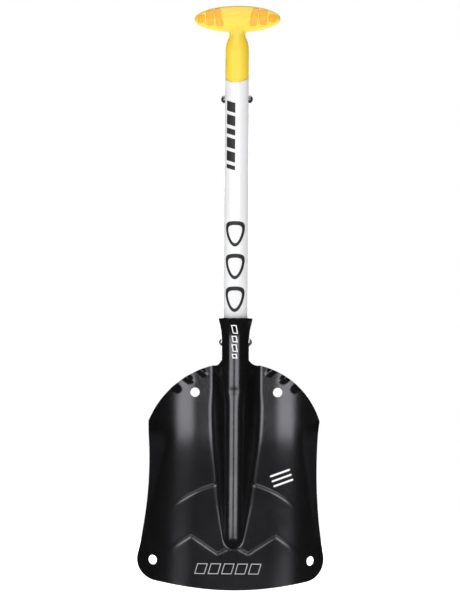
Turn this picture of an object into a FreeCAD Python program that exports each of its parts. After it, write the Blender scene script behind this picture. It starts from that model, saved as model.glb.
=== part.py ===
"""Telescopic avalanche shovel, stored length, standing on the tip of its blade.

Frame: +Z runs up the shaft, the scoop side faces -Y, +X is to the right seen from the scoop side.
The origin is on the shaft axis, at the height of the blade's tip. Millimetres.
"""
import FreeCAD, Part
import math
import os

V = FreeCAD.Vector
X = V(1, 0, 0)
Y = V(0, 1, 0)
Z = V(0, 0, 1)
SIDES = {"left": -1, "right": 1}

# shaft: the outer tube fits the socket, the inner tube fits the outer one
shaft_diameter = 30.0
shaft_wall = 1.5
shaft_length = 378.0
inner_wall = 1.5
inner_foot_gap = 39.6
telescope_clearance = 0.3
socket_clearance = 0.4
end_gap = 0.4

# socket, with the flare at its rim
socket_wall = 1.6
socket_height = 82.0
rim_flare = 4.6
rim_height = 30.0
rim_lip = 1.6
rim_mouth_depth = 22.0
socket_tongue_gap = 3.0
weld_radius = 2.2
weld_setback = 1.6
weld_foot_gap = 5.0
weld_top_gap = 2.0

# blade: outline seen from the front
blade_height = 274.0
blade_width = 236.0
shoulder_drop = 68.4
shoulder_inset = 13.2
waist_inset = 15.8
waist_height = 160.0
corner_height = 19.5
corner_radius = 28.0
top_half_width = 28.7
top_arc_sag = 13.2
shoulder_radius = 3.0
neck_rise = 6.0
shaft_below_blade_top = 25.0
sheet = 1.6

# blade: depth of the pan behind the shaft axis, and how the pan leans and curls forward
pan_depth = 12.6
pan_lean = 0.21
lean_start = 185.0
lean_softness = 25.0
curl = 0.0073
curl_start = 47.0
curl_softness = 8.0
flange_slope = 0.5
flange_softness = 4.0
flange_width = 19.4
flange_foot_height = 180.0
flange_spread_down = 0.17
flange_spread_up = 0.0155
flange_low_end = 58.0
flange_high_end = 214.0
flange_fade = 22.0

# blade: the ridge that carries on from the socket
ridge_low_radius = 14.0
ridge_high_angle = 62.0
ridge_low_angle = 57.0
ridge_taper = 28.0
ridge_blend = 8.0
crease_blend = 1.5
full_ridge_height = 12.0
dimple_depth = 4.0
dimple_width = 6.5
dimple_height = 3.4
dimple_drop = 7.4

# blade: step corrugations on the shoulders
step_count = 3
step_first_angle = 22.0
step_pitch_angle = 10.7
step_inset = 5.0
step_length = 15.0
step_depth = 17.0
step_rise = 3.2

# blade: holes and slots
hole_diameter = 11.5
upper_hole_half_span = 50.9
upper_hole_drop = 33.0
lower_hole_inset = 22.7
lower_hole_height = 37.0
slot_count = 3
slot_length = 26.0
slot_width = 2.4
slot_pitch = 6.4
slot_angle = 20.0
slot_centre = (57.5, 136.5)

# blade: where its sheet is divided into strips
ridge_line = 22.0
curl_line = 80.0

# blade: spacing of the points that its two faces run through
face_step = 3.3
face_margin = 6.0

# lock buttons
button_diameter = 9.5
button_hole_clearance = 0.3
button_flange = 2.0
button_flange_thickness = 1.2
button_dome = 3.2
button_seat_gap = 0.2
button_stand_out = 4.7
lower_button_diameter = 9.0
lower_button_stand_out = 3.4
upper_button_drop = 27.0
lower_button_rise = 53.0
extension_button_rise = 48.4
hidden_button_gap = 0.6

# leaf springs
leaf_thickness = 0.8
leaf_width = 8.0
upper_leaf_length = 45.0
lower_leaf_length = 30.0
extension_leaf_length = 36.0
leaf_overrun = 5.0

# plugs
plug_length = 9.0
plug_lip = 4.0
plug_clearance = 0.1
plug_wall = 2.0
plug_floor = 3.0

# grip: a flattened egg on a waisted stem
grip_half_width = 53.0
grip_half_depth = 15.0
grip_half_height = 16.4
stem_inset = 0.35
stem_waist_diameter = 19.8
stem_straight = 33.0
stem_length = 52.0
grip_centre_rise = 72.0
stem_bore_clearance = 0.05
grip_fillet = 4.0
tongue_length = 7.0
tongue_half_width = 6.0
pad_inset = 0.35
pad_thickness = 2.2
pad_half_gap = 3.0
pin_diameter = 4.0
pin_rise = 16.0
pin_end_gap = 0.1

shoulder_height = blade_height - shoulder_drop
shoulder_half_width = blade_width / 2 - shoulder_inset
waist_half_width = blade_width / 2 - waist_inset
flange_foot = waist_half_width - flange_width
neck_height = blade_height + neck_rise
upper_hole_height = blade_height - upper_hole_drop
lower_hole_half_span = blade_width / 2 - lower_hole_inset

shaft_bottom = blade_height - shaft_below_blade_top
shaft_radius = shaft_diameter / 2
shaft_bore = shaft_radius - shaft_wall
shaft_top = shaft_bottom + shaft_length
inner_radius = shaft_bore - telescope_clearance
inner_bore = inner_radius - inner_wall
socket_bore = shaft_radius + socket_clearance
socket_radius = socket_bore + socket_wall
socket_top = shaft_bottom + socket_height
stem_radius = shaft_radius - stem_inset
stem_waist_radius = stem_waist_diameter / 2
upper_button_height = shaft_top - upper_button_drop
lower_button_height = shaft_bottom + lower_button_rise
inner_top = shaft_top + stem_straight - end_gap
inner_bottom = lower_button_height + inner_foot_gap
extension_button_height = inner_bottom + extension_button_rise


def tube(outer, inner, low, high):
    """A tube on the shaft axis."""
    solid = Part.makeCylinder(outer, high - low, V(0, 0, low), Z)
    return solid.cut(Part.makeCylinder(inner, high - low + 2, V(0, 0, low - 1), Z))


def turned(points):
    """A solid turned about the shaft axis from (radius, height) points joined by straight lines."""
    wire = Part.makePolygon([V(r, 0, z) for r, z in points + points[:1]])
    return Part.Face(wire).revolve(V(0, 0, 0), Z, 360)


def upright_prism(face, low=-150.0, high=150.0):
    """A face drawn in the XZ plane, run through the object along Y."""
    face = face.copy()
    face.translate(V(0, low, 0))
    return face.extrude(V(0, high - low, 0))


def polygon_face(points):
    """A face in the XZ plane from (x, z) points."""
    return Part.Face(Part.makePolygon([V(x, 0, z) for x, z in points + points[:1]]))


def smooth_step(value, low, high):
    """0 below low, 1 above high, smooth between."""
    t = min(1.0, max(0.0, (value - low) / (high - low)))
    return t * t * (3 - 2 * t)


def ramp(value, softness):
    """0 for a value well below 0, the value itself well above, smooth between."""
    return (value + math.hypot(value, softness)) / 2


def arc_centre():
    """Centre (x, z) and radius of the top arc of the blade, on the right-hand side."""
    low = (shoulder_half_width, shoulder_height)
    high = (top_half_width, blade_height)
    chord = math.dist(low, high)
    radius = (chord**2 / 4 + top_arc_sag**2) / (2 * top_arc_sag)
    reach = radius - top_arc_sag
    across = ((high[1] - low[1]) / chord, (low[0] - high[0]) / chord)
    middle = ((low[0] + high[0]) / 2, (low[1] + high[1]) / 2)
    return middle[0] - across[0] * reach, middle[1] - across[1] * reach, radius


def pan_lift(x, z):
    """How far the pan of the blade, without its ridge, stands in front of the shaft axis."""
    lift = pan_lean * ramp(lean_start - z, lean_softness) - pan_depth
    lift += curl * ramp(abs(x) - curl_start, curl_softness) ** 2
    away = z - flange_foot_height
    foot = flange_foot + (flange_spread_up * away**2 if away > 0 else -flange_spread_down * away)
    fade = smooth_step(z, flange_low_end, flange_low_end + flange_fade)
    fade *= 1 - smooth_step(z, flange_high_end - flange_fade, flange_high_end)
    return lift + fade * flange_slope * ramp(abs(x) - foot, flange_softness)


def ridge_lift(x, z):
    """How far the ridge stands in front of the shaft axis: a round crest between straight flanks."""
    high = smooth_step(z, shaft_bottom - ridge_taper, shaft_bottom)
    radius = ridge_low_radius + (socket_radius - ridge_low_radius) * high
    angle = math.radians(ridge_low_angle + (ridge_high_angle - ridge_low_angle) * high)
    edge = radius * math.sin(angle)
    if abs(x) <= edge:
        return socket_radius - radius + math.sqrt(radius**2 - x * x)
    drop = radius * (1 - math.cos(angle)) + (abs(x) - edge) * math.tan(angle)
    return socket_radius - drop


def step_lift(x, z):
    """The corrugations along the top arc."""
    cx, cz, radius = arc_centre()
    away = radius - step_inset - math.hypot(abs(x) - cx, z - cz)
    turn = math.degrees(math.atan2(abs(x) - cx, z - cz))
    lift = 0.0
    for i in range(step_count):
        along = math.radians(turn - step_first_angle - i * step_pitch_angle) * radius
        if abs(along) < step_length / 2 and abs(away) < step_depth / 2:
            wave = math.cos(math.pi * along / step_length) * math.cos(math.pi * away / step_depth)
            lift += step_rise * wave**2
    return lift


def front_lift(x, z):
    """How far the front face of the blade stands in front of the shaft axis."""
    pan = pan_lift(x, z)
    ridge = ridge_lift(x, z)
    height = max(0.0, socket_radius - pan)
    blend = crease_blend + (ridge_blend - crease_blend) * min(1.0, height / full_ridge_height)
    near = max(0.0, blend - abs(pan - ridge)) / blend
    lift = max(pan, ridge) + near * near * blend / 4 + step_lift(x, z)
    away = z - (shaft_bottom - dimple_drop)
    return lift - dimple_depth * math.exp(-((x / dimple_width) ** 2) - (away / dimple_height) ** 2)


def back_lift(x, z):
    """The back face: one sheet thickness behind the front face, measured square to it."""
    nudge = 0.5
    slope_x = (front_lift(x + nudge, z) - front_lift(x - nudge, z)) / (2 * nudge)
    slope_z = (front_lift(x, z + nudge) - front_lift(x, z - nudge)) / (2 * nudge)
    return front_lift(x, z) - sheet * math.sqrt(1 + slope_x**2 + slope_z**2)


def space_behind(lift):
    """The space behind one face of the blade, as a solid."""
    half = blade_width / 2 + face_margin
    rise = neck_height + 2 * face_margin
    columns = 2 * round(half / face_step)
    rows = round(rise / face_step)
    step_x = 2 * half / columns
    step_z = rise / rows
    heights = [
        [lift(i * step_x - half, j * step_z - face_margin) for j in range(rows + 1)]
        for i in range(columns + 1)
    ]
    surface = Part.BSplineSurface()
    surface.interpolate(heights, -half, step_x, -face_margin, step_z)
    face = surface.toShape()
    face.rotate(V(0, 0, 0), X, 90)
    return face.extrude(V(0, 120, 0))


def arc(start, middle, end):
    """An arc in the XZ plane through three (x, z) points."""
    return Part.Arc(*[V(x, 0, z) for x, z in (start, middle, end)]).toShape()


def outline_prism():
    """The outline of the blade, seen from the front, run through along Y."""
    neck = (socket_radius, neck_height)
    neck_curve = (socket_radius + 3.4, blade_height + 1.7)
    top = (top_half_width, blade_height)
    shoulder = (shoulder_half_width, shoulder_height)
    corner = (blade_width / 2, corner_height)
    cx, cz, radius = arc_centre()
    turns = [math.atan2(x - cx, z - cz) for x, z in (top, shoulder)]
    crown_turn = sum(turns) / 2
    crown = (cx + radius * math.sin(crown_turn), cz + radius * math.cos(crown_turn))
    waist = (waist_half_width, waist_height)
    edges = [arc((-corner[0], corner[1]), (0, 0), corner)]
    edges.append(Part.makeLine(V(-neck[0], 0, neck[1]), V(neck[0], 0, neck[1])))
    for points in ((neck, neck_curve, top), (top, crown, shoulder), (shoulder, waist, corner)):
        for side in SIDES.values():
            edges.append(arc(*[(side * x, z) for x, z in points]))
    prism = upright_prism(Part.Face(Part.Wire(Part.__sortEdges__(edges))))
    for height, rounding in ((shoulder_height, shoulder_radius), (corner_height, corner_radius)):
        ends = [e for e in prism.Edges if abs(e.BoundBox.ZMin - height) + e.BoundBox.ZLength < 0.01]
        prism = prism.makeFillet(rounding, ends)
    return prism


def lower_hole(side):
    """Place and direction of a lower hole, square to the sheet: centre of its mouth, outward axis."""
    x = side * lower_hole_half_span
    z = lower_hole_height
    nudge = 0.5
    slope_x = (front_lift(x + nudge, z) - front_lift(x - nudge, z)) / (2 * nudge)
    slope_z = (front_lift(x, z + nudge) - front_lift(x, z - nudge)) / (2 * nudge)
    axis = V(-slope_x, -1, -slope_z)
    axis.normalize()
    return V(x, -front_lift(x, z), z), axis


def make_blade():
    """The pressed sheet, with its holes and slots."""
    blade = outline_prism().common(space_behind(front_lift)).cut(space_behind(back_lift))
    hole = hole_diameter / 2
    for side in SIDES.values():
        upper = V(side * upper_hole_half_span, -100, upper_hole_height)
        blade = blade.cut(Part.makeCylinder(hole, 200, upper, Y))
        mouth, axis = lower_hole(side)
        blade = blade.cut(Part.makeCylinder(hole, 20, mouth - axis * 10, axis))
    for i in range(slot_count):
        rise = ((slot_count - 1) / 2 - i) * slot_pitch
        half = (slot_length - slot_width) / 2
        slot = Part.makeBox(2 * half, 200, slot_width, V(-half, -100, rise - slot_width / 2))
        for end in (-half, half):
            slot = slot.fuse(Part.makeCylinder(slot_width / 2, 200, V(end, -100, rise), Y))
        slot.rotate(V(0, 0, 0), Y, -slot_angle)
        slot.translate(V(slot_centre[0], 0, slot_centre[1]))
        blade = blade.cut(slot)
    return in_strips(blade)


def in_strips(blade):
    """One sheet as upright strips that meet face to face, so that collision follows its hollows."""
    edges = [-blade_width, -curl_line, -ridge_line, 0, ridge_line, curl_line, blade_width]
    strips = []
    for low, high in zip(edges, edges[1:]):
        room = Part.makeBox(high - low, 400, 2 * neck_height, V(low, -200, -neck_height / 2))
        strips.extend(blade.common(room).Solids)
    return Part.makeCompound(strips)


def make_socket_tube():
    """The tube that takes the shaft: a flared rim above, only the rear half below the blade's neck."""
    rim = socket_top - rim_height
    flare_bottom = (socket_radius, rim)
    flare_top = (socket_radius + rim_flare, socket_top)
    middle = (socket_radius + rim_flare * 0.24, rim + rim_height * 0.5)
    curve = Part.Arc(*[V(r, 0, z) for r, z in (flare_bottom, middle, flare_top)]).toShape()
    lip_top = (socket_radius + rim_flare - rim_lip, socket_top)
    mouth = (socket_bore, socket_top - rim_mouth_depth)
    foot = shaft_bottom + socket_tongue_gap
    rest = [flare_top, lip_top, mouth, (socket_bore, foot), (socket_radius, foot)]
    straight = Part.makePolygon([V(r, 0, z) for r, z in rest + [flare_bottom]])
    wire = Part.Wire(Part.__sortEdges__([curve] + straight.Edges))
    body = Part.Face(wire).revolve(V(0, 0, 0), Z, 360)
    front = Part.makeBox(80, 40, neck_height, V(-40, -40, 0))
    body = body.cut(front)
    hole = lower_button_diameter / 2 + button_hole_clearance
    return body.cut(Part.makeCylinder(hole, 80, V(-40, 0, lower_button_height), X))


def make_socket_welds():
    """Two seams behind the blade, where the socket's rear half lies between the flanks of the ridge."""
    seams = []
    low = shaft_bottom + weld_foot_gap
    length = neck_height - weld_top_gap - low
    for side in SIDES.values():
        start = V(side * socket_radius, weld_setback, low)
        seams.append(Part.makeCylinder(weld_radius, length, start, Z))
    seams = seams[0].fuse(seams[1])
    seams = seams.cut(Part.makeCylinder(socket_radius, 400, V(0, 0, 0), Z))
    blade_side = outline_prism().cut(space_behind(back_lift))
    return seams.cut(blade_side)


def make_outer_shaft():
    """The outer tube: notched at the top for the grip, with button holes for both locks."""
    body = tube(shaft_radius, shaft_bore, shaft_bottom, shaft_top)
    body = body.cut(upright_prism(tongue_face(end_gap)))
    for height, diameter in (
        (upper_button_height, button_diameter),
        (lower_button_height, lower_button_diameter),
    ):
        hole = diameter / 2 + button_hole_clearance
        body = body.cut(Part.makeCylinder(hole, 80, V(-40, 0, height), X))
    return body


def tongue_face(gap):
    """The notch in the shaft's top seen from the front, or with no gap the tongue that fills it."""
    low = shaft_top - tongue_length - gap
    side = shaft_top - gap
    edge = shaft_radius + 2
    return polygon_face([
        (-edge, shaft_top + 60),
        (-edge, side),
        (-tongue_half_width, low),
        (tongue_half_width, low),
        (edge, side),
        (edge, shaft_top + 60),
    ])


def make_shaft_end_plug():
    """A plastic cup that closes the low end of the outer shaft."""
    outer = shaft_bore - plug_clearance
    top = shaft_bottom + plug_length
    inner = outer - plug_wall
    floor = shaft_bottom + plug_floor
    return turned([(0, shaft_bottom), (outer, shaft_bottom), (outer, top), (inner, top),
                   (inner, floor), (0, floor)])


def make_inner_tube():
    """The inner tube, with holes for its two pairs of buttons and for the grip's pin."""
    body = tube(inner_radius, inner_bore, inner_bottom, inner_top)
    for height in (upper_button_height, extension_button_height):
        hole = button_diameter / 2 + button_hole_clearance
        body = body.cut(Part.makeCylinder(hole, 80, V(-40, 0, height), X))
    return body.cut(Part.makeCylinder(pin_diameter / 2, 80, V(-40, 0, shaft_top + pin_rise), X))


def make_inner_glide():
    """A plastic plug in the low end of the inner tube, with a lip as wide as the tube."""
    stem = inner_bore - plug_clearance
    low = inner_bottom - plug_lip
    top = inner_bottom + plug_length
    inside = stem - plug_wall
    return turned([(0, low), (inner_radius, low), (inner_radius, inner_bottom), (stem, inner_bottom),
                   (stem, top), (inside, top), (inside, inner_bottom), (0, inner_bottom)])


def flange_reach(bore, diameter):
    """How far out a button's flange lies when it rests against the inside of a tube."""
    radius = diameter / 2 + button_flange
    return math.sqrt(bore**2 - radius**2) - button_seat_gap


def make_button(side, height, diameter, bore, tip):
    """A round button along X: flange inside the tube, domed end outside."""
    radius = diameter / 2
    reach = flange_reach(bore, diameter)
    dome = min(radius, button_dome)
    ball = (radius**2 + dome**2) / (2 * dome)
    body = Part.makeCylinder(radius, tip - reach, V(reach, 0, 0), X)
    body = body.common(Part.makeSphere(ball, V(tip - ball, 0, 0)).fuse(
        Part.makeCylinder(radius, tip - dome - reach, V(reach, 0, 0), X)))
    seat = V(reach - button_flange_thickness, 0, 0)
    flange = Part.makeCylinder(radius + button_flange, button_flange_thickness, seat, X)
    body = body.fuse(flange).removeSplitter()
    if side < 0:
        body.rotate(V(0, 0, 0), Z, 180)
    body.translate(V(0, 0, height))
    return body


def make_leaf_spring(height, length, foot, head):
    """A bent strip with two legs, foot half its width at the bend and head at the buttons."""
    bend = height - length
    tip = height + leaf_overrun
    strip = []
    ring = Part.makeCylinder(foot, leaf_width, V(0, -leaf_width / 2, bend), Y)
    ring = ring.cut(Part.makeCylinder(foot - leaf_thickness, leaf_width, V(0, -leaf_width / 2, bend), Y))
    strip.append(ring.cut(Part.makeBox(60, 60, 30, V(-30, -30, bend))))
    for side in SIDES.values():
        leg = polygon_face([
            (side * foot, bend),
            (side * head, height - radius_of_flange()),
            (side * head, tip),
            (side * (head - leaf_thickness), tip),
            (side * (head - leaf_thickness), height - radius_of_flange()),
            (side * (foot - leaf_thickness), bend),
        ])
        leg.translate(V(0, -leaf_width / 2, 0))
        strip.append(leg.extrude(V(0, leaf_width, 0)))
    return strip[0].fuse(strip[1:]).removeSplitter()


def radius_of_flange():
    """The straight part of a spring leg reaches this far below the middle of its button."""
    return button_diameter / 2 + button_flange


def egg(shrink):
    """The grip's head: an egg with three half axes, made smaller all round by shrink."""
    ball = Part.makeSphere(1.0)
    matrix = FreeCAD.Matrix()
    matrix.scale(grip_half_width - shrink, grip_half_depth - shrink, grip_half_height - shrink)
    body = ball.transformGeometry(matrix)
    body.translate(V(0, 0, shaft_top + grip_centre_rise))
    return body


def pad_faces(side):
    """Three stripes on one end of the grip, seen from the front."""
    centre = shaft_top + grip_centre_rise
    stripes = (
        (39.8, 48.0, 39.8, 48.0, -4.6, 4.2),
        (27.6, 37.4, 28.6, 36.8, -8.0, 10.2),
        (20.4, 27.6, 15.8, 24.4, -9.2, 12.6),
    )
    return [
        polygon_face([
            (side * low_in, centre + low),
            (side * low_out, centre + low),
            (side * high_out, centre + high),
            (side * high_in, centre + high),
        ])
        for high_in, high_out, low_in, low_out, low, high in stripes
    ]


def make_grip_pads(side):
    """The soft stripes, let into both faces of one end of the grip."""
    shell = egg(pad_inset).cut(egg(pad_inset + pad_thickness))
    pads = []
    for face in pad_faces(side):
        for low, high in ((-40, -pad_half_gap), (pad_half_gap, 40)):
            pads.append(shell.common(upright_prism(face, low, high)))
    return Part.makeCompound(pads)


def make_stem():
    """The waisted stem of the grip, cut to the shaft's notch at its low end."""
    low = shaft_top - tongue_length
    top = shaft_top + stem_straight
    waist_height = shaft_top + stem_length
    head = (stem_waist_radius + 1, waist_height + 12)
    curve = Part.BSplineCurve()
    curve.interpolate(
        [V(r, 0, z) for r, z in (
            (stem_radius, top),
            (stem_radius - 1.3, top + 9),
            (stem_radius - 3.7, top + 14),
            (stem_waist_radius, waist_height),
            head,
        )],
        InitialTangent=V(0, 0, 1), FinalTangent=V(0.1, 0, 1))
    rest = [head, (0, head[1]), (0, low), (stem_radius, low), (stem_radius, top)]
    edges = [curve.toShape()] + Part.makePolygon([V(r, 0, z) for r, z in rest]).Edges
    stem = Part.Face(Part.Wire(Part.__sortEdges__(edges))).revolve(V(0, 0, 0), Z, 360)
    upper = Part.makeBox(80, 80, 60, V(-40, -40, shaft_top + 20))
    return stem.common(upright_prism(tongue_face(0)).fuse(upper))


def make_t_grip():
    """The grip: egg-shaped head, waisted stem, bore for the inner tube, pockets for the pads."""
    low = shaft_top - tongue_length
    body = egg(0).fuse(make_stem())
    join = [e for e in body.Edges if abs(e.BoundBox.XLength - e.BoundBox.YLength) < 4
            and e.BoundBox.ZMin > shaft_top + stem_length and e.BoundBox.XLength > stem_waist_radius]
    body = body.makeFillet(grip_fillet, join)
    bore = inner_radius + stem_bore_clearance
    body = body.cut(Part.makeCylinder(bore, inner_top - low, V(0, 0, low), Z))
    body = body.cut(Part.makeCylinder(pin_diameter / 2, 80, V(-40, 0, shaft_top + pin_rise), X))
    core = egg(pad_inset + pad_thickness)
    for side in SIDES.values():
        for face in pad_faces(side):
            for near, far in ((-40, -pad_half_gap), (pad_half_gap, 40)):
                body = body.cut(upright_prism(face, near, far).cut(core))
    return body


def make_grip_pin():
    """The pin through the grip's stem and the inner tube."""
    length = 2 * (math.sqrt(stem_radius**2 - (pin_diameter / 2) ** 2) - pin_end_gap)
    return Part.makeCylinder(pin_diameter / 2, length, V(-length / 2, 0, shaft_top + pin_rise), X)


upper_flange = flange_reach(inner_bore, button_diameter)
lower_flange = flange_reach(shaft_bore, lower_button_diameter)
upper_tip = shaft_radius + button_stand_out
lower_tip = socket_radius + lower_button_stand_out
hidden_tip = shaft_bore - hidden_button_gap
button_push = upper_tip - hidden_tip
pushed_flange = upper_flange - button_push

nodes = {
    "blade": make_blade(),
    "socket_tube": make_socket_tube(),
    "socket_welds": make_socket_welds(),
    "outer_shaft": make_outer_shaft(),
    "shaft_end_plug": make_shaft_end_plug(),
    "inner_tube": make_inner_tube(),
    "inner_glide": make_inner_glide(),
    "t_grip": make_t_grip(),
    "grip_pin": make_grip_pin(),
    "upper_lock_spring": make_leaf_spring(
        upper_button_height, upper_leaf_length, upper_flange - button_flange_thickness,
        upper_flange - button_flange_thickness),
    "lower_lock_spring": make_leaf_spring(
        lower_button_height, lower_leaf_length, lower_flange - button_flange_thickness,
        lower_flange - button_flange_thickness),
    "extension_lock_spring": make_leaf_spring(
        extension_button_height, extension_leaf_length, upper_flange - button_flange_thickness,
        pushed_flange - button_flange_thickness),
}
for name, side in SIDES.items():
    nodes["grip_pads_" + name] = make_grip_pads(side)
    nodes["upper_button_" + name] = make_button(
        side, upper_button_height, button_diameter, inner_bore, upper_tip)
    nodes["lower_button_" + name] = make_button(
        side, lower_button_height, lower_button_diameter, shaft_bore, lower_tip)
    button = make_button(side, extension_button_height, button_diameter, inner_bore, upper_tip)
    button.translate(V(-side * button_push, 0, 0))
    nodes["extension_button_" + name] = button

os.makedirs("parts", exist_ok=True)
for name, shape in nodes.items():
    shape.exportStep("parts/" + name + ".step")
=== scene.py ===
import math

import bmesh
import bpy
from mathutils import Matrix, Vector


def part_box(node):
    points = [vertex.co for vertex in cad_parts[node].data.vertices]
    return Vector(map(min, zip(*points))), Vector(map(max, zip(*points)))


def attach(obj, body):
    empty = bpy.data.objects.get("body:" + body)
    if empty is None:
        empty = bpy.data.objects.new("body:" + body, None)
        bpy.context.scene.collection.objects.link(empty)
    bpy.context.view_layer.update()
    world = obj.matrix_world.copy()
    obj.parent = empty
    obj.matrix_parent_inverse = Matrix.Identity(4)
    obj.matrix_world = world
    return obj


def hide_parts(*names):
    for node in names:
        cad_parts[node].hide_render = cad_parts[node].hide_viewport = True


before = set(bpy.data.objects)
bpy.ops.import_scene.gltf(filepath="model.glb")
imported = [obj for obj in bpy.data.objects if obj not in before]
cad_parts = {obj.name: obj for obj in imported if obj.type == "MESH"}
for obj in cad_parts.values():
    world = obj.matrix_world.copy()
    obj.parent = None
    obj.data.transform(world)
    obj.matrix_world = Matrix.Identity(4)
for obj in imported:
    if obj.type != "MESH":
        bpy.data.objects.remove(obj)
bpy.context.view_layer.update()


# ---------------------------------------------------------------- blade
# The blade is one sheet of aluminium, cut to its outline, pressed into a scoop round a hollow ridge
# that carries on from the socket, then punched and hard-anodised black. Sizes are in millimetres.
# Outlined parallelograms are etched into the front of its lip.
mm = 0.001
sides = {"left": -1, "right": 1}
sheet = 1.6
blade_width = 236.0
neck_top = 280.0
neck_fillet = (20.4, 275.7)
neck_foot = (28.7, 274.0)
top_arc_centre = (4.885, 170.971)
top_arc_radius = 105.746
shoulder_point = (104.8, 205.6)
waist_point = (102.2, 160.0)
flank_end = (112.09, 46.6)
corner_height = 19.5
corner_setback = 25.9
lip_end = (93.0, 11.99)
lip_middle = (46.5, 2.96)
socket_radius = 17.0
shaft_bottom = 249.0
pan_set_back = 12.6
curl_slope = 0.21
crest_radius = 14.0
step_angles = (22.0, 32.7, 43.4)
step_height = 3.2
step_half_width = 5.6
step_reach = (1.5, 12.0)
bead_height = 0.62
bead_half_width = 1.15
dimple_depth = 0.5
mesh_step = 1.3
upper_hole = (50.9, 241.0)
lower_hole = (95.3, 37.0)
hole_radius = 5.75
slot_middle = (57.5, 136.5)
slot_length = 26.0
slot_width = 2.4
slot_pitch = 6.4
slot_angle = math.radians(20)


def spun(mesh, vertex, centre, axis, angle, steps):
    """Sweeps one vertex round a centre and returns the vertex at the end of the arc."""
    swept = bmesh.ops.spin(mesh, geom=[vertex], cent=centre, axis=axis, dvec=(0, 0, 0),
                           angle=angle, steps=steps, use_merge=False, use_duplicate=False)
    return next(v for v in swept["geom_last"] if isinstance(v, bmesh.types.BMVert))


def arc_through(mesh, vertex, middle, end, steps):
    """Sweeps a vertex of the XZ plane along the arc through two more (x, z) points."""
    ax, az = vertex.co.x, vertex.co.z
    (bx, bz), (cx, cz) = middle, end
    d = 2 * (ax * (bz - cz) + bx * (cz - az) + cx * (az - bz))
    a, b, c = (p * p + q * q for p, q in ((ax, az), (bx, bz), (cx, cz)))
    centre = Vector(((a * (bz - cz) + b * (cz - az) + c * (az - bz)) / d, 0,
                     (a * (cx - bx) + b * (ax - cx) + c * (bx - ax)) / d))
    start = math.atan2(az - centre.z, ax - centre.x)
    turn = (math.atan2(cz - centre.z, cx - centre.x) - start + math.pi) % (2 * math.pi) - math.pi
    return spun(mesh, vertex, centre, (0, -1, 0), turn, steps)


def smooth_step(value, low, high):
    """0 up to low and 1 from high on, with a soft S between."""
    t = min(1.0, max(0.0, (value - low) / (high - low)))
    return t * t * (3 - 2 * t)


def ramp(value, softness):
    """0 below nothing and the value above it, with a rounded corner."""
    return (value + math.hypot(value, softness)) / 2


def pan_lift(x, z):
    """How far the pan stands in front of the shaft axis: curl, bowl and raised flanks."""
    curl = curl_slope * ramp(185 - z, 25)
    bowl = 0.0073 * ramp(abs(x) - 47, 8) ** 2
    away = z - 180
    flank_foot = 82.8 + (0.0155 * away**2 if away > 0 else -0.17 * away)
    fade = smooth_step(z, 58, 80) * (1 - smooth_step(z, 192, 214))
    return curl - pan_set_back + bowl + fade * 0.5 * ramp(abs(x) - flank_foot, 4)


def ridge_lift(x, z):
    """The ridge: a round crest as wide as the socket at the top, between straight flanks."""
    high = smooth_step(z, shaft_bottom - 28, shaft_bottom)
    radius = crest_radius + (socket_radius - crest_radius) * high
    angle = math.radians(57 + 5 * high)
    edge = radius * math.sin(angle)
    nose = 2.0 * (1 - smooth_step(z, 60, 150)) - 3.4 * max(0.0, (63 - z) / 13) ** 2
    if abs(x) <= edge:
        return socket_radius - radius + math.sqrt(radius**2 - x * x) + nose
    crest = socket_radius - radius * (1 - math.cos(angle))
    return crest - (abs(x) - edge) * math.tan(angle) + nose


def step_lift(x, z):
    """Three folded corrugations on each shoulder, where a boot pushes, sharpest at the edge."""
    cx, cz = top_arc_centre
    inward = top_arc_radius - math.hypot(abs(x) - cx, z - cz)
    turn = math.degrees(math.atan2(abs(x) - cx, z - cz))
    fade = 1 - smooth_step(inward, *step_reach)
    lift = 0.0
    for middle in step_angles:
        along = math.radians(turn - middle) * top_arc_radius + 0.25 * inward
        fold = 1 - math.hypot(along, 0.8) / step_half_width
        lift += step_height * max(0.0, fold) * fade
    return lift


def relief_lift(x, z):
    """A bead pressed round the middle of the pan: soft sides, an arched top and a zigzag foot."""
    off = abs(x)
    foot = 66 - 0.66 * abs(off - 52) if off > 19 else 44.2 + 0.5 * (19 - off)
    roof = 131 - 0.0052 * off**2
    side = 100 - 0.0016 * (z - 95) ** 2
    inside = min((z - foot) * 0.83, roof - z, (side - off) * 0.95)
    return bead_height * math.exp(-((inside / bead_half_width) ** 2))


def front_lift(x, z):
    """The front face of the sheet: pan and ridge blended, then steps, bead and dimple."""
    pan = pan_lift(x, z)
    ridge = ridge_lift(x, z)
    blend = 1.5 + 10.5 * min(1.0, max(0.0, socket_radius - pan) / 12)
    near = max(0.0, blend - abs(pan - ridge)) / blend
    lift = max(pan, ridge) + near * near * blend / 4 + step_lift(x, z)
    lift += relief_lift(x, z) * smooth_step(pan - ridge, 0.5, 4)
    away = z - (shaft_bottom - 7.4)
    return lift - dimple_depth * math.exp(-((x / 7.0) ** 2) - (away / 4.2) ** 2)


def settled(name, mesh, cutters=(), sharp=35):
    """Makes an object of a mesh, less its cutters; edges sharper than an angle stay crisp."""
    data = bpy.data.meshes.new(name)
    mesh.to_mesh(data)
    mesh.free()
    piece = bpy.data.objects.new(name, data)
    bpy.context.scene.collection.objects.link(piece)
    for cutter in cutters:
        cut = piece.modifiers.new("cut", "BOOLEAN")
        cut.object = cutter
        cut.solver = "EXACT"
    bpy.context.view_layer.update()
    if cutters:
        whole = piece.evaluated_get(bpy.context.evaluated_depsgraph_get())
        piece.data = bpy.data.meshes.new_from_object(whole)
        piece.data.name = name
        piece.modifiers.clear()
        for cutter in cutters:
            bpy.data.objects.remove(cutter)
    for face in piece.data.polygons:
        face.use_smooth = True
    piece.data.set_sharp_from_angle(angle=math.radians(sharp))
    return piece


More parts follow.
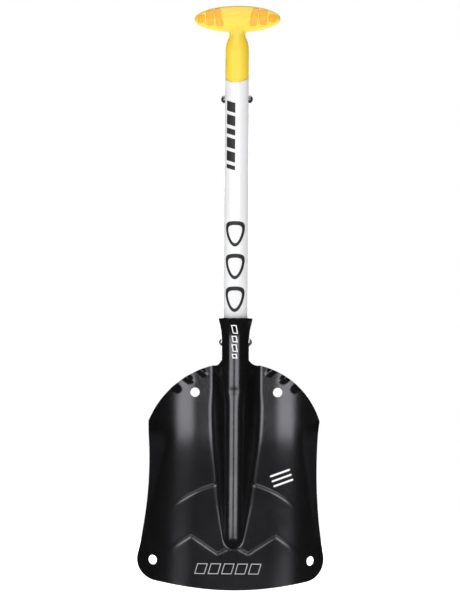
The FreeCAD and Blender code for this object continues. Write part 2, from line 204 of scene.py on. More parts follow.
def punch(name, middle, axis, radius, depth, segments=48):
    """A round cutter through a point, along an axis."""
    mesh = bmesh.new()
    turn = Vector((0, 0, 1)).rotation_difference(Vector(axis)).to_matrix().to_4x4()
    bmesh.ops.create_cone(mesh, cap_ends=True, segments=segments, radius1=radius * mm,
                          radius2=radius * mm, depth=depth * mm,
                          matrix=Matrix.Translation(Vector(middle) * mm) @ turn)
    return settled(name, mesh)


outline = bmesh.new()
pen = outline.verts.new((socket_radius, 0, neck_top))
pen = arc_through(outline, pen, neck_fillet, neck_foot, 8)
crown_turn = math.radians(40)
crown = (top_arc_centre[0] + top_arc_radius * math.sin(crown_turn),
         top_arc_centre[1] + top_arc_radius * math.cos(crown_turn))
pen = arc_through(outline, pen, crown, shoulder_point, 60)
pen = arc_through(outline, pen, waist_point, flank_end, 60)
corner = outline.verts.new((blade_width / 2, 0, corner_height))
lip = outline.verts.new((lip_end[0], 0, lip_end[1]))
outline.edges.new((pen, corner))
outline.edges.new((corner, lip))
arc_through(outline, lip, lip_middle, (0.0, 0.0), 40)
bmesh.ops.bevel(outline, geom=[corner], offset=corner_setback, segments=18, profile=0.5,
                affect="VERTICES", material=-1)
bmesh.ops.mirror(outline, geom=outline.verts[:] + outline.edges[:], axis="X", merge_dist=0.01)
ends = [v for v in outline.verts if len(v.link_edges) == 1]
outline.edges.new(ends)
bmesh.ops.remove_doubles(outline, verts=outline.verts, dist=0.02)
bmesh.ops.contextual_create(outline, geom=outline.edges[:])
for axis, low, high in ((2, 0.0, neck_top), (0, -blade_width / 2, blade_width / 2)):
    for i in range(1, int((high - low) / mesh_step)):
        place = Vector((0, 0, 0))
        normal = Vector((0, 0, 0))
        place[axis] = low + i * mesh_step
        normal[axis] = 1
        whole = outline.verts[:] + outline.edges[:] + outline.faces[:]
        bmesh.ops.bisect_plane(outline, geom=whole, dist=0.0001, plane_co=place, plane_no=normal)
bmesh.ops.remove_doubles(outline, verts=outline.verts, dist=0.2)
for v in outline.verts:
    v.co.y = -front_lift(v.co.x, v.co.z)
bmesh.ops.recalc_face_normals(outline, faces=outline.faces)
if sum(f.normal.y for f in outline.faces) > 0:
    bmesh.ops.reverse_faces(outline, faces=outline.faces)
bmesh.ops.scale(outline, vec=(mm, mm, mm), verts=outline.verts)
rear = bmesh.ops.extrude_face_region(outline, geom=outline.faces[:], use_keep_orig=True)["geom"]
for v in rear:
    if isinstance(v, bmesh.types.BMVert):
        v.co.y += sheet * mm / max(0.35, abs(v.normal.y))
bmesh.ops.recalc_face_normals(outline, faces=outline.faces)

cutters = []
for side in sides.values():
    x, z = upper_hole
    cutters.append(punch("upper_punch", (side * x, -front_lift(x, z), z), (0, 1, 0),
                         hole_radius, 30))
    x, z = lower_hole
    slope_x = front_lift(x + 0.5, z) - front_lift(x - 0.5, z)
    slope_z = front_lift(x, z + 0.5) - front_lift(x, z - 0.5)
    cutters.append(punch("lower_punch", (side * x, -front_lift(x, z), z),
                         (side * slope_x, 1, slope_z), hole_radius, 20))
for i in (-1, 0, 1):
    mesh = bmesh.new()
    bmesh.ops.create_cone(mesh, cap_ends=True, segments=24, radius1=slot_width / 2,
                          radius2=slot_width / 2, depth=60)
    for v in mesh.verts:
        v.co.x += math.copysign((slot_length - slot_width) / 2, v.co.x)
    bmesh.ops.rotate(mesh, verts=mesh.verts, cent=(0, 0, 0),
                     matrix=Matrix.Rotation(math.pi / 2, 3, "X"))
    bmesh.ops.translate(mesh, verts=mesh.verts, vec=(0, 0, i * slot_pitch))
    bmesh.ops.rotate(mesh, verts=mesh.verts, cent=(0, 0, 0),
                     matrix=Matrix.Rotation(-slot_angle, 3, "Y"))
    bmesh.ops.translate(mesh, verts=mesh.verts, vec=(slot_middle[0], 0, slot_middle[1]))
    bmesh.ops.scale(mesh, vec=(mm, mm, mm), verts=mesh.verts)
    cutters.append(settled("slot_punch", mesh))
blade = settled("blade_sheet", outline, cutters)
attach(blade, "blade")
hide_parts("blade")


class Amount:
    """A number that varies over a surface: arithmetic on it adds the Math nodes."""

    def __init__(self, finish, socket):
        self.finish = finish
        self.socket = socket

    def maths(self, operation, *others):
        inputs = {0: self.socket}
        for place, other in enumerate(others, 1):
            inputs[place] = other.socket if isinstance(other, Amount) else other
        node = self.finish.node("ShaderNodeMath", {"operation": operation}, inputs)
        return Amount(self.finish, node.outputs[0])

    def __add__(self, other):
        return self.maths("ADD", other)

    def __sub__(self, other):
        return self.maths("SUBTRACT", other)

    def __mul__(self, other):
        return self.maths("MULTIPLY", other)

    def __rsub__(self, other):
        return (self * -1.0).maths("ADD", other)

    def __lt__(self, other):
        return self.maths("LESS_THAN", other)

    def __abs__(self):
        return self.maths("ABSOLUTE")

    __radd__ = __add__
    __rmul__ = __mul__

    def both(self, other):
        """The overlap of two masks."""
        return self.maths("MINIMUM", other)

    def either(self, other):
        """Two masks together."""
        return self.maths("MAXIMUM", other)

    def between(self, low, high):
        """0 up to low, 1 from high on, and straight between."""
        values = {"Value": self.socket, "From Min": low, "From Max": high}
        node = self.finish.node("ShaderNodeMapRange", {"clamp": True}, values)
        return Amount(self.finish, node.outputs[0])


class Finish:
    """The material of one surface, built node by node."""

    def __init__(self, name):
        self.material = bpy.data.materials.new(name)
        self.material.use_nodes = True
        self.tree = self.material.node_tree
        self.tree.nodes.clear()

    def node(self, kind, settings=None, inputs=None):
        """Adds a node: its settings first, then the values or links of its sockets."""
        node = self.tree.nodes.new(kind)
        for name, value in (settings or {}).items():
            setattr(node, name, value)
        for name, value in (inputs or {}).items():
            if isinstance(value, Amount):
                value = value.socket
            if isinstance(value, bpy.types.NodeSocket):
                self.tree.links.new(value, node.inputs[name])
            else:
                node.inputs[name].default_value = value
        return node

    def place(self):
        """The point on the piece, in millimetres, as three Amounts."""
        where = self.node("ShaderNodeTexCoord").outputs["Object"]
        scaled = self.node("ShaderNodeVectorMath", {"operation": "SCALE"},
                           {0: where, "Scale": 1 / mm})
        split = self.node("ShaderNodeSeparateXYZ", None, {0: scaled.outputs[0]})
        return [Amount(self, split.outputs[i]) for i in range(3)]

    def speckle(self, grain, detail=2.0, stretch=(1, 1, 1), roughness=0.5):
        """Noise from 0 to 1 whose grains are about so many millimetres across."""
        where = self.node("ShaderNodeTexCoord").outputs["Object"]
        scale = tuple(1 / mm / grain / s for s in stretch)
        mapped = self.node("ShaderNodeMapping", None, {"Vector": where, "Scale": scale})
        noise = self.node("ShaderNodeTexNoise", None, {"Vector": mapped.outputs[0], "Scale": 1.0,
                                                       "Detail": detail, "Roughness": roughness})
        return Amount(self, noise.outputs["Fac"])

    def mix(self, amount, low, high):
        """A colour that goes from low to high as amount goes from 0 to 1."""
        node = self.node("ShaderNodeMix", {"data_type": "RGBA"}, {"Factor": amount})
        for socket, colour in ((node.inputs[6], low), (node.inputs[7], high)):
            if isinstance(colour, bpy.types.NodeSocket):
                self.tree.links.new(colour, socket)
            else:
                socket.default_value = (*colour, 1.0)
        return node.outputs[2]

    def dress(self, bump=None, height=0.0002, strength=1.0, **surface):
        """Puts the surface on the material, with an optional height map in metres."""
        inputs = {name.replace("_", " ").title().replace("Ior", "IOR"): value
                  for name, value in surface.items()}
        shader = self.node("ShaderNodeBsdfPrincipled", None, inputs)
        if bump is not None:
            relief = self.node("ShaderNodeBump", None, {"Height": bump, "Distance": height,
                                                        "Strength": strength})
            self.tree.links.new(relief.outputs[0], shader.inputs["Normal"])
        self.node("ShaderNodeOutputMaterial", None, {"Surface": shader.outputs[0]})
        return self.material


def wear(piece, material):
    """Gives a piece its only material."""
    piece.data.materials.clear()
    piece.data.materials.append(material)


anodised = Finish("black_anodised_sheet")
grain = anodised.speckle(0.35, 3.0)
cloud = anodised.speckle(38.0, 3.0)
scuffs = anodised.speckle(1.1, 4.0, (1, 1, 34), 0.6).between(0.62, 0.74)
x, y, z = anodised.place()
mark_height = 26.0
mark_pitch = 16.4
mark_slant = 0.28
mark_line = 0.9
mark_set_forward = 20.2
rubbed = (mark_height - z).between(0.0, mark_height) * scuffs
tone = (cloud * 0.4 + grain * 0.6 + rubbed * 0.6).between(0.25, 0.95)
up = z - mark_height
etched = None
for i in range(5):
    off = x - (i * mark_pitch - 38.4) - up * mark_slant
    outer = (abs(off) < 6.3).both(abs(up) < 6.4)
    inner = (abs(off) < 6.3 - mark_line).both(abs(up) < 6.4 - mark_line)
    etched = outer - inner if etched is None else etched.either(outer - inner)
etched = etched.both(y - up * curl_slope < -mark_set_forward)
black = anodised.mix(tone, (0.030, 0.030, 0.033), (0.075, 0.075, 0.080))
wear(blade, anodised.dress(
    bump=grain, height=0.00006, strength=0.5,
    base_color=anodised.mix(etched, black, (0.42, 0.42, 0.43)),
    metallic=0.92 - etched * 0.5,
    roughness=0.15 + grain * 0.08 + cloud * 0.04 + scuffs * 0.05 + etched * 0.2))


# ---------------------------------------------------------------- socket
# The socket is a drawn alloy tube with a rolled, flared rim. Below the blade's neck only its rear
# half goes on, lying in the hollow of the ridge, where it is welded down both sides.
socket_bore = 15.4
socket_top = 331.0
rim_height = 30.0
rim_flare = 4.6
rim_lip = 1.6
rim_mouth_depth = 22.0
socket_tongue = 252.0
lower_button_height = 302.0
lower_button_hole = 4.8


def turned(name, profile, steps=96, rounding=0.0, softest=30, segments=2):
    """A piece turned about the shaft axis from a closed (radius, height) profile, edges rounded."""
    mesh = bmesh.new()
    ring = [mesh.verts.new((r * mm, 0, z * mm)) for r, z in profile]
    edges = [mesh.edges.new((a, b)) for a, b in zip(ring, ring[1:] + ring[:1])]
    bmesh.ops.spin(mesh, geom=ring + edges, cent=(0, 0, 0), axis=(0, 0, 1), dvec=(0, 0, 0),
                   angle=2 * math.pi, steps=steps, use_merge=True)
    bmesh.ops.remove_doubles(mesh, verts=mesh.verts, dist=0.000001)
    bmesh.ops.recalc_face_normals(mesh, faces=mesh.faces)
    if rounding:
        corners = [e for e in mesh.edges if len(e.link_faces) == 2
                   and e.calc_face_angle() > math.radians(softest)]
        bmesh.ops.bevel(mesh, geom=corners, offset=rounding * mm, segments=segments, profile=0.5,
                        affect="EDGES", material=-1)
    return mesh


def flare(share):
    """The rim's outer radius, share of the way up the flare."""
    return socket_radius + rim_flare * share**2.1


rim_foot = socket_top - rim_height
profile = [(socket_radius, socket_tongue)]
profile += [(flare(i / 8), rim_foot + rim_height * i / 8) for i in range(9)]
profile += [(flare(1) - rim_lip, socket_top), (socket_bore, socket_top - rim_mouth_depth),
            (socket_bore, socket_tongue)]
mesh = turned("socket", profile, rounding=0.45)
# The front half of the tube stops where the blade's neck begins.
gap = bmesh.new()
bmesh.ops.create_cube(gap, size=1, matrix=Matrix.Translation((0, -0.04, neck_top * mm - 0.1))
                      @ Matrix.Diagonal((0.08, 0.08, 0.2, 1)))
cutters = [settled("neck_cut", gap),
           punch("button_cut", (0, 0, lower_button_height), (1, 0, 0), lower_button_hole, 80)]
socket = settled("socket_flared", mesh, cutters)
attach(socket, "blade")
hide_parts("socket_tube")

satin = Finish("black_anodised_tube")
x, y, z = satin.place()
grain = satin.speckle(0.3, 2.0)
drawn = satin.speckle(0.9, 3.0, (1, 1, 40))
around = x.maths("ARCTAN2", y * -1.0) * socket_radius
marks = None
for middle, length in ((317.2, 10.4), (305.4, 7.8), (294.4, 9.0), (284.6, 5.4)):
    up = z - middle
    lean = around + up * 0.2 - 0.6
    outer = (abs(up) < length / 2).both(abs(lean) < 3.0)
    inner = (abs(up) < length / 2 - 1.1).both(abs(lean) < 1.9)
    marks = outer - inner if marks is None else marks.either(outer - inner)
marks = marks.both(y < 0.0)
black = satin.mix(drawn * 0.6 + grain * 0.4, (0.026, 0.026, 0.028), (0.060, 0.060, 0.064))
wear(socket, satin.dress(
    bump=drawn, height=0.00005, strength=0.4,
    base_color=satin.mix(marks, black, (0.72, 0.72, 0.73)),
    metallic=0.92 - marks * 0.92,
    roughness=0.13 + drawn * 0.1 + marks * 0.25))


# ---------------------------------------------------------------- socket welds
# Two hand-laid seams join the socket's rear half to the flanks of the ridge. Each is a row of
# overlapping ripples, anodised with the blade.
weld_low, weld_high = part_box("socket_welds")
weld_radius = 1.3
weld_ripple = 0.16
ripple_turn = 1.25
weld_off_axis = (17.9, 1.9)
weld_margin = 0.0002
rings = 60
rise = (weld_high[2] - weld_low[2] - 2 * weld_margin) / rings
mesh = bmesh.new()
for side in sides.values():
    foot = Matrix.Translation((side * weld_off_axis[0] * mm, weld_off_axis[1] * mm,
                               weld_low[2] + weld_margin))
    made = bmesh.ops.create_circle(mesh, segments=14, radius=weld_radius * mm, cap_ends=True,
                                   matrix=foot)
    face = made["verts"][0].link_faces[0]
    for i in range(rings):
        swept = bmesh.ops.extrude_face_region(mesh, geom=[face])["geom"]
        if i:
            bmesh.ops.delete(mesh, geom=[face], context="FACES_ONLY")
        face = next(f for f in swept if isinstance(f, bmesh.types.BMFace))
        points = face.verts[:]
        middle = face.calc_center_median()
        wide, was = (weld_radius + weld_ripple * math.cos(n * ripple_turn) for n in (i + 1, i))
        bmesh.ops.scale(mesh, vec=(wide / was, wide / was, 1), space=Matrix.Translation(-middle),
                        verts=points)
        bmesh.ops.translate(mesh, vec=(0, 0, rise), verts=points)
bmesh.ops.recalc_face_normals(mesh, faces=mesh.faces)
welds = settled("weld_seams", mesh)
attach(welds, "blade")
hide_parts("socket_welds")

seam = Finish("anodised_weld")
lumps = seam.speckle(1.6, 3.0)
wear(welds, seam.dress(bump=lumps, height=0.0003, strength=0.5,
                       base_color=seam.mix(lumps, (0.012, 0.012, 0.013), (0.04, 0.04, 0.042)),
                       metallic=0.6, roughness=0.34 + lumps * 0.18))


# ---------------------------------------------------------------- outer shaft
# The outer shaft is a thin-walled alloy tube with a gloss white coating and dark printed marks. Its
# top is notched front and back for the grip, and two pairs of button holes are drilled through it.
shaft_radius = 15.0
shaft_bore = 13.5
shaft_top = 627.0
shaft_spare = 4.0
upper_button_height = 600.0
upper_button_hole = 5.05
end_gap = 0.4
tongue_length = 7.0
tongue_half_width = 6.0
mesh = turned("shaft", [(shaft_radius, shaft_bottom), (shaft_radius, shaft_top + shaft_spare),
                        (shaft_bore, shaft_top + shaft_spare), (shaft_bore, shaft_bottom)],
              128, 0.3, 60)
notch = bmesh.new()
low = shaft_top - tongue_length - end_gap
side = shaft_top - end_gap
edge = shaft_radius + 2
points = ((-edge, side + 20), (-edge, side), (-tongue_half_width, low),
          (tongue_half_width, low), (edge, side), (edge, side + 20))
face = notch.faces.new([notch.verts.new((x * mm, -0.04, z * mm)) for x, z in points])
swept = bmesh.ops.extrude_face_region(notch, geom=[face])["geom"]
bmesh.ops.translate(notch, vec=(0, 0.08, 0),
                    verts=[v for v in swept if isinstance(v, bmesh.types.BMVert)])
bmesh.ops.recalc_face_normals(notch, faces=notch.faces)
cutters = [settled("notch_cut", notch),
           punch("upper_hole_cut", (0, 0, upper_button_height), (1, 0, 0), upper_button_hole, 80),
           punch("lower_hole_cut", (0, 0, lower_button_height), (1, 0, 0), lower_button_hole, 80)]
shaft = settled("shaft_coated", mesh, cutters)
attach(shaft, "outer_shaft")
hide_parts("outer_shaft")

coat = Finish("white_coated_tube")
x, y, z = coat.place()
around = x.maths("ARCTAN2", y * -1.0) * shaft_radius
ripple = coat.speckle(3.2, 2.0)
dust = coat.speckle(0.5, 2.0)


def shield(height, bluntness, spread, top, bottom):
    """1 inside a rounded triangle that points down, from bottom under a height to top over it."""
    up = z - height
    flanks = (around * around + bluntness**2).maths("SQRT") - up * spread
    flanks = flanks - (bluntness + spread * bottom)
    return flanks.maths("SMOOTH_MAX", (up - top) * 0.5, top) < 0.0


print_mask = None
for height in (436.8, 396.8, 356.8):
    badge = shield(height, 20.8, 0.21, 13.6, 18.4) - shield(height, 15.0, 0.18, 8.4, 14.2)
    print_mask = badge if print_mask is None else print_mask.either(badge)
for middle, half in ((588.0, 6.2), (571.5, 6.2), (557.5, 3.6), (543.5, 6.2), (527.0, 6.2),
                     (514.0, 2.6)):
    lean = z - middle + around * 0.3
    bar = (abs(lean) < half).both(abs(around + 6.6) < 6.2)
    print_mask = print_mask.either(bar)
print_mask = print_mask.both(y < 0.0)
fade = coat.speckle(9.0, 3.0)
ink = coat.mix(fade, (0.008, 0.008, 0.009), (0.020, 0.019, 0.022))
white = coat.mix(ripple, (0.61, 0.613, 0.62), (0.65, 0.653, 0.66))
wear(shaft, coat.dress(
    bump=ripple * 0.7 + dust * 0.3 + print_mask * 0.5, height=0.00004, strength=0.35,
    base_color=coat.mix(print_mask, white, ink),
    metallic=0.0, roughness=0.24 + dust * 0.06 + print_mask * 0.3,
    coat_weight=0.2 - print_mask * 0.2, coat_roughness=0.12))


# ---------------------------------------------------------------- grip
# The grip is moulded in yellow plastic: an egg-shaped head that the palm closes over, and a waisted
# stem that slides over the inner tube and ends in a tongue that fits the shaft's notch.
grip_half = (53.0, 15.0, 16.4)
grip_centre = 699.0
stem_radius = 14.65
stem_top = 660.0
waist_height = 679.0
waist_radius = 9.9
shoulder_end = 669.0
crease_height = 686.5
crease_passes = 14
head_foot = 695.0
neck_half_width = 22.0
stem_foot = 617.0
stem_profile = [(0, stem_foot), (stem_radius, stem_foot), (stem_radius, stem_top), (14.3, 664.5),
                (13.35, shoulder_end), (12.2, 672.0), (11.0, 674.6), (10.15, 677.2),
                (waist_radius, waist_height), (10.05, 681.0), (10.9, 684.0), (12.6, 687.0),
                (13.6, 690.0), (0, 692.0)]
bore_radius = 13.25
bore_middle = 635.0
bore_depth = 49.2
pin_height = 643.0
pin_hole = 2.08
pocket_gap = 0.12
pocket_reach = 22.0
pad_depth = 2.2
pad_inset = 0.35
pad_gap = 0.06
pad_rounding = 0.35
pad_corner = 1.8
# Each stripe: its inner and outer edge at the top, the same at the foot, and its foot and top
# from the middle of the head.
pad_stripes = ((39.8, 48.0, 39.8, 48.0, -4.6, 4.2), (27.6, 37.4, 28.6, 36.8, -8.0, 10.2),
               (20.4, 27.6, 15.8, 24.4, -9.2, 12.6))
mould_voxel = 0.5


def egg_depth(x, z, shrink):
    """How far the head's skin, made smaller all round by shrink, stands off its middle plane."""
    a, b, c = (half - shrink for half in grip_half)
    return b * math.sqrt(max(0.0, 1 - (x / a) ** 2 - ((z - grip_centre) / c) ** 2))


def stripe_block(name, side, face, shape, grow, outer, inner, rounding):
    """One stripe of the head's shell: outer and inner give its two depths at a point."""
    high_in, high_out, low_in, low_out, low, high = shape
    mesh = bmesh.new()
    corners = [mesh.verts.new(point) for point in (
        (side * (low_in - grow), 0, grip_centre + low - grow),
        (side * (low_out + grow), 0, grip_centre + low - grow),
        (side * (high_out + grow), 0, grip_centre + high + grow),
        (side * (high_in - grow), 0, grip_centre + high + grow))]
    mesh.faces.new(corners)
    bmesh.ops.bevel(mesh, geom=corners, offset=pad_corner + grow, segments=6, profile=0.5,
                    affect="VERTICES", material=-1)
    for axis in (0, 2):
        reach = [v.co[axis] for v in mesh.verts]
        normal = Vector((0, 0, 0))
        normal[axis] = 1
        for i in range(1, int(max(reach) - min(reach)) + 1):
            whole = mesh.verts[:] + mesh.edges[:] + mesh.faces[:]
            bmesh.ops.bisect_plane(mesh, geom=whole, dist=0.0001,
                                   plane_co=normal * (min(reach) + i), plane_no=normal)
    bmesh.ops.remove_doubles(mesh, verts=mesh.verts, dist=0.1)
    swept = bmesh.ops.extrude_face_region(mesh, geom=mesh.faces[:], use_keep_orig=True)["geom"]
    deep = {v for v in swept if isinstance(v, bmesh.types.BMVert)}
    for v in mesh.verts:
        v.co.y = -face * (inner(v.co.x, v.co.z) if v in deep else outer(v.co.x, v.co.z))
    bmesh.ops.scale(mesh, vec=(mm, mm, mm), verts=mesh.verts)
    bmesh.ops.recalc_face_normals(mesh, faces=mesh.faces)
    if rounding:
        rim = [e for e in mesh.edges if len(e.link_faces) == 2
               and e.calc_face_angle() > math.radians(55)]
        bmesh.ops.bevel(mesh, geom=rim, offset=rounding * mm, segments=2, profile=0.5,
                        affect="EDGES", material=-1)
    return settled(name, mesh)


def pad_floor(x, z):
    """How far the floor of a stripe's pocket stands off the head's middle plane."""
    return max(3.0, egg_depth(x, z, pad_inset + pad_depth))


egg = bmesh.new()
bmesh.ops.create_uvsphere(egg, u_segments=160, v_segments=80, radius=1.0)
bmesh.ops.rotate(egg, verts=egg.verts, cent=(0, 0, 0),
                 matrix=Matrix.Rotation(math.pi / 2, 3, "Y"))
bmesh.ops.scale(egg, vec=[half * mm for half in grip_half], verts=egg.verts)
bmesh.ops.translate(egg, vec=(0, 0, grip_centre * mm), verts=egg.verts)
stem = settled("stem", turned("stem", stem_profile, 120))
head = settled("head", egg)
join = head.modifiers.new("join", "BOOLEAN")
join.object = stem
join.operation = "UNION"
join.solver = "EXACT"
skin = head.modifiers.new("skin", "REMESH")
skin.mode = "VOXEL"
skin.voxel_size = mould_voxel * mm
bpy.context.view_layer.update()
whole = head.evaluated_get(bpy.context.evaluated_depsgraph_get())
mould = bmesh.new()
mould.from_mesh(whole.to_mesh())
whole.to_mesh_clear()
for part in (head, stem):
    bpy.data.objects.remove(part)
for _ in range(crease_passes):
    crease = [v for v in mould.verts
              if abs(v.co.z - crease_height * mm) < 0.004 and abs(v.co.x) < 0.021]
    bmesh.ops.smooth_vert(mould, verts=crease, factor=0.5, use_axis_x=True, use_axis_y=True,
                          use_axis_z=True)
# The remeshed skin goes back onto the true egg and the true round of the stem.
for v in mould.verts:
    x, y, z = (c / mm for c in v.co)
    reach = math.sqrt((x / grip_half[0]) ** 2 + (y / grip_half[1]) ** 2
                      + ((z - grip_centre) / grip_half[2]) ** 2)
    if reach > 0.9 and (z > head_foot or abs(x) > neck_half_width):
        v.co = (Vector((x, y, z - grip_centre)) / reach + Vector((0, 0, grip_centre))) * mm
    elif z < shoulder_end:
        out = v.co.xy.length if z > stem_top else stem_radius * mm
        v.co.xy = v.co.xy.normalized() * min(out, stem_radius * mm)
bmesh.ops.smooth_vert(mould, verts=mould.verts, factor=0.25, use_axis_x=True, use_axis_y=True,
                      use_axis_z=True)
# Three straight cuts leave the tongue at the foot of the stem.
tongue_foot = (shaft_top - tongue_length) * mm
for turn in (0, 1, -1):
    slope = Vector((turn * tongue_length, 0, tongue_half_width - edge)).normalized()
    bmesh.ops.bisect_plane(mould, geom=mould.verts[:] + mould.edges[:] + mould.faces[:],
                           plane_co=(turn * tongue_half_width * mm, 0, tongue_foot),
                           plane_no=slope, clear_outer=True)
    bmesh.ops.contextual_create(mould, geom=[e for e in mould.edges if e.is_boundary])

cutters = []
for sign in sides.values():
    for face in (1, -1):
        for shape in pad_stripes:
            cutters.append(stripe_block("pocket", sign, face, shape, pocket_gap,
                                        lambda x, z: pocket_reach, pad_floor, 0))
cutters.append(punch("bore_cut", (0, 0, bore_middle), (0, 0, 1), bore_radius, bore_depth, 96))
cutters.append(punch("pin_cut", (0, 0, pin_height), (1, 0, 0), pin_hole, 60))
grip = settled("grip_moulding", mould, cutters)
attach(grip, "inner_shaft")
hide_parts("t_grip")

moulded = Finish("yellow_moulded_plastic")
grain = moulded.speckle(0.28, 2.0)
flow = moulded.speckle(16.0, 3.0)
used = moulded.speckle(2.2, 4.0, (1.6, 1, 0.7), 0.6).between(0.60, 0.72)
wear(grip, moulded.dress(
    bump=grain, height=0.00005, strength=0.45,
    base_color=moulded.mix(flow * 0.7 + grain * 0.3, (0.69, 0.478, 0.032), (0.73, 0.545, 0.058)),
    roughness=0.33 + grain * 0.08 + used * 0.07, subsurface_weight=0.08, subsurface_scale=0.002,
    subsurface_radius=(1.0, 0.6, 0.1)))


# ---------------------------------------------------------------- grip stripes
# Six stripes of softer amber rubber on each end of the head, three in front and three behind, are
# moulded into shallow pockets so that a wet glove doesn't slip.
rubber = Finish("amber_rubber")
grain = rubber.speckle(0.35, 2.0)
cloud = rubber.speckle(7.0, 2.0)
soft = rubber.dress(bump=grain, height=0.00006, strength=0.6,
                    base_color=rubber.mix(cloud * 0.6 + grain * 0.4, (0.78, 0.30, 0.014),
                                          (0.86, 0.38, 0.022)),
                    roughness=0.42 + grain * 0.12)


def pad_face(x, z):
    """The stripe's outer skin, a little under the head's own."""
    return max(3.4, egg_depth(x, z, pad_inset))


def pad_back(x, z):
    """The stripe's inner skin, just clear of the pocket's floor."""
    return pad_floor(x, z) + pad_gap


for side, sign in sides.items():
    blocks = []
    for face, where in ((1, "front"), (-1, "back")):
        for i, shape in enumerate(pad_stripes, 1):
            blocks.append(stripe_block(f"grip_stripe_{side}_{where}_{i}", sign, face, shape, 0.0,
                                       pad_face, pad_back, pad_rounding))
    for block in blocks:
        wear(block, soft)
        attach(block, "inner_shaft")
    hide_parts(f"grip_pads_{side}")


# ---------------------------------------------------------------- lock buttons
# Three pairs of round steel buttons are pushed out through the tubes by leaf springs. Each has a
# flange inside the tube and a domed end. The upper and hidden pairs are dark, the lower bright.
button_flange = 2.0
flange_thickness = 1.2
dome = 3.2


def button_metal(name, dark, light, shine):
    """Turned steel with fine rings and small scratches."""
    metal = Finish(name)
    turning = metal.speckle(0.5, 3.0, (1, 6, 6))
    marks = metal.speckle(1.7, 4.0, roughness=0.6).between(0.58, 0.72)
    return metal.dress(bump=turning, height=0.00003, strength=0.4,
                       base_color=metal.mix(turning * 0.5 + marks * 0.5, dark, light),
                       metallic=1.0, roughness=shine + turning * 0.1 + marks * 0.1)


dark_steel = button_metal("dark_button_steel", (0.24, 0.24, 0.25), (0.38, 0.38, 0.39), 0.26)
bright_steel = button_metal("bright_button_steel", (0.62, 0.62, 0.63), (0.78, 0.78, 0.79), 0.32)
for kind, radius, metal, finish in (("upper", 4.75, dark_steel, "button_dark"),
                                    ("extension", 4.75, dark_steel, "button_dark"),
                                    ("lower", 4.5, bright_steel, "button_bright")):
    ball = (radius**2 + dome**2) / (2 * dome)
    for side, sign in sides.items():
        low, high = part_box(f"{kind}_button_{side}")
        near, tip = sorted((abs(low[0]) / mm, abs(high[0]) / mm))
        height = (low[2] + high[2]) / 2 / mm
        seat = near + flange_thickness
        cap = [math.asin(radius / ball) * i / 10 for i in range(10, -1, -1)]
        arc = [(ball * math.sin(a), tip - ball + ball * math.cos(a)) for a in cap]
        wide = radius + button_flange
        mesh = turned("button", [(0, near), (wide, near), (wide, seat), (radius, seat)] + arc,
                      48, 0.25, 50)
        turn = Matrix.Rotation(sign * math.pi / 2, 4, "Y")
        bmesh.ops.transform(mesh, matrix=Matrix.Translation((0, 0, height * mm)) @ turn,
                            verts=mesh.verts)
        button = settled(f"domed_button_{kind}_{side}", mesh)
        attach(button, f"{kind}_button_{side}")
        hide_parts(f"{kind}_button_{side}")
        wear(button, metal)


# ---------------------------------------------------------------- inner tube, plugs, springs, pin
# Inside the shaft: the bare alloy tube that carries the grip, two moulded plugs, three bent strips
# of spring steel and the steel pin through the grip. They keep their CAD shapes and get finishes.
drawn = Finish("bare_drawn_tube")
lines = drawn.speckle(0.6, 3.0, (1, 1, 60))
haze = drawn.speckle(11.0, 3.0)
alloy = drawn.dress(bump=lines, height=0.00003, strength=0.4,
                    base_color=drawn.mix(haze * 0.5 + lines * 0.5, (0.62, 0.63, 0.65),
                                         (0.76, 0.77, 0.79)),
                    metallic=1.0, roughness=0.24 + lines * 0.12 + haze * 0.08)
cast = Finish("black_plug_plastic")
pits = cast.speckle(0.4, 3.0)
swirl = cast.speckle(5.0, 2.0)
plastic = cast.dress(bump=pits, height=0.00006, strength=0.5,
                     base_color=cast.mix(swirl, (0.018, 0.018, 0.019), (0.035, 0.035, 0.037)),
                     roughness=0.42 + pits * 0.15)
strip = Finish("spring_strip_steel")
rolled = strip.speckle(0.4, 3.0, (20, 1, 20))
tint = strip.speckle(9.0, 2.0)
spring = strip.dress(bump=rolled, height=0.00003, strength=0.4,
                     base_color=strip.mix(tint * 0.6 + rolled * 0.4, (0.27, 0.25, 0.22),
                                          (0.43, 0.42, 0.40)),
                     metallic=1.0, roughness=0.26 + rolled * 0.14)
rod = Finish("ground_pin_steel")
ground = rod.speckle(0.4, 3.0, (30, 1, 1))
steel = rod.dress(bump=ground, height=0.00002, strength=0.4,
                  base_color=rod.mix(ground, (0.46, 0.46, 0.47), (0.60, 0.60, 0.61)),
                  metallic=1.0, roughness=0.22 + ground * 0.1)
for node, finish, material in (("inner_tube", "inner_alloy", alloy),
                               ("inner_glide", "plug_plastic", plastic),
                               ("shaft_end_plug", "plug_plastic", plastic),
                               ("grip_pin", "pin_steel", steel),
                               ("upper_lock_spring", "spring_steel", spring),
                               ("lower_lock_spring", "spring_steel", spring),
                               ("extension_lock_spring", "spring_steel", spring)):
    wear(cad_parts[node], material)


# ---------------------------------------------------------------- floor, light and camera
# A pale studio floor with a white surround. Two soft boxes stand left and right of the camera, so
# that round black metal shows two bright bands with a dark gap between them. Two more stand behind.
mesh = bmesh.new()
bmesh.ops.create_grid(mesh, x_segments=1, y_segments=1, size=6.0)
floor = settled("studio_floor", mesh)
floor.visible_glossy = False
paper = Finish("pale_floor")
mottle = paper.speckle(120.0, 2.0)
wear(floor, paper.dress(base_color=paper.mix(mottle, (0.90, 0.90, 0.90), (0.93, 0.93, 0.93)),
                        roughness=0.75 + mottle * 0.1,
                        emission_color=(1.0, 1.0, 1.0, 1.0), emission_strength=0.95))

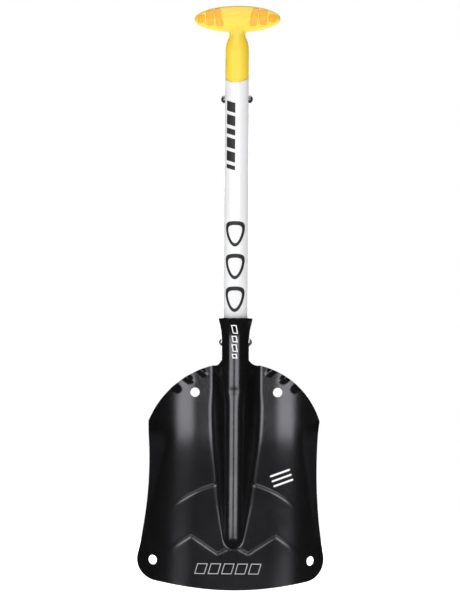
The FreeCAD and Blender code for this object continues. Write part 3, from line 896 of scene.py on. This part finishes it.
surround = bpy.data.worlds.new("surround")
bpy.context.scene.world = surround
surround.use_nodes = True
sky = surround.node_tree
sky.nodes.clear()
seen = sky.nodes.new("ShaderNodeLightPath")
either = sky.nodes.new("ShaderNodeMixShader")
sky.links.new(seen.outputs["Is Camera Ray"], either.inputs[0])
for place, strength in ((1, 0.03), (2, 1.0)):
    white_sky = sky.nodes.new("ShaderNodeBackground")
    white_sky.inputs["Color"].default_value = (1.0, 1.0, 1.0, 1.0)
    white_sky.inputs["Strength"].default_value = strength
    sky.links.new(white_sky.outputs[0], either.inputs[place])
sky.links.new(either.outputs[0], sky.nodes.new("ShaderNodeOutputWorld").inputs["Surface"])

camera_azimuth = 6.0
camera_distance = 4.5
eye_height = 0.16


def on_ring(azimuth, distance, height):
    """A point that far from the shaft axis; azimuth 0 is straight in front of the scoop."""
    turn = math.radians(azimuth)
    return Vector((math.sin(turn) * distance, -math.cos(turn) * distance, height))


def soft_box(name, azimuth, distance, height, width, tall, power, target):
    """An even white panel, aimed at a point and itself unseen."""
    data = bpy.data.lights.new(name, "AREA")
    data.shape = "RECTANGLE"
    data.size = width
    data.size_y = tall
    data.energy = power
    box = bpy.data.objects.new(name, data)
    box.location = on_ring(azimuth, distance, height)
    box.rotation_euler = (Vector(target) - box.location).to_track_quat("-Z", "Y").to_euler()
    box.visible_camera = False
    bpy.context.scene.collection.objects.link(box)


soft_box("soft_box_left", -28.0, 2.75, 0.40, 1.6, 0.74, 21.0, (0, 0, 0.3))
soft_box("soft_box_right", 17.5, 2.75, 0.40, 1.5, 0.74, 20.0, (0, 0, 0.3))
soft_box("back_box_left", -164.0, 2.75, 0.7, 1.1, 1.0, 13.0, (0, 0, 0.3))
soft_box("back_box_right", 166.0, 2.75, 0.7, 1.1, 1.0, 13.0, (0, 0, 0.3))
soft_box("back_low_light", 180.0, 0.95, 0.012, 2.0, 1.3, 9.0, (0, 0.95, 2.0))
soft_box("high_light", -6.0, 2.2, 2.6, 2.0, 1.4, 26.0, (0, 0, 0.4))
soft_box("floor_light", 0.0, 0.0, 3.2, 3.4, 3.4, 70.0, (0, 0.3, 0))

lens = bpy.data.cameras.new("camera")
lens.sensor_width = 36.0
lens.lens = 222.3
lens.clip_end = 30.0
camera = bpy.data.objects.new("camera", lens)
camera.location = on_ring(camera_azimuth, camera_distance, eye_height)
aim = Vector((-0.0072, 0.0, 0.3562))
view = (aim - camera.location).to_track_quat("-Z", "Y").to_matrix()
camera.rotation_euler = (view @ Matrix.Rotation(math.radians(0.35), 3, "Z")).to_euler()
bpy.context.scene.collection.objects.link(camera)
bpy.context.scene.camera = camera
bpy.context.scene.view_settings.view_transform = "Standard"
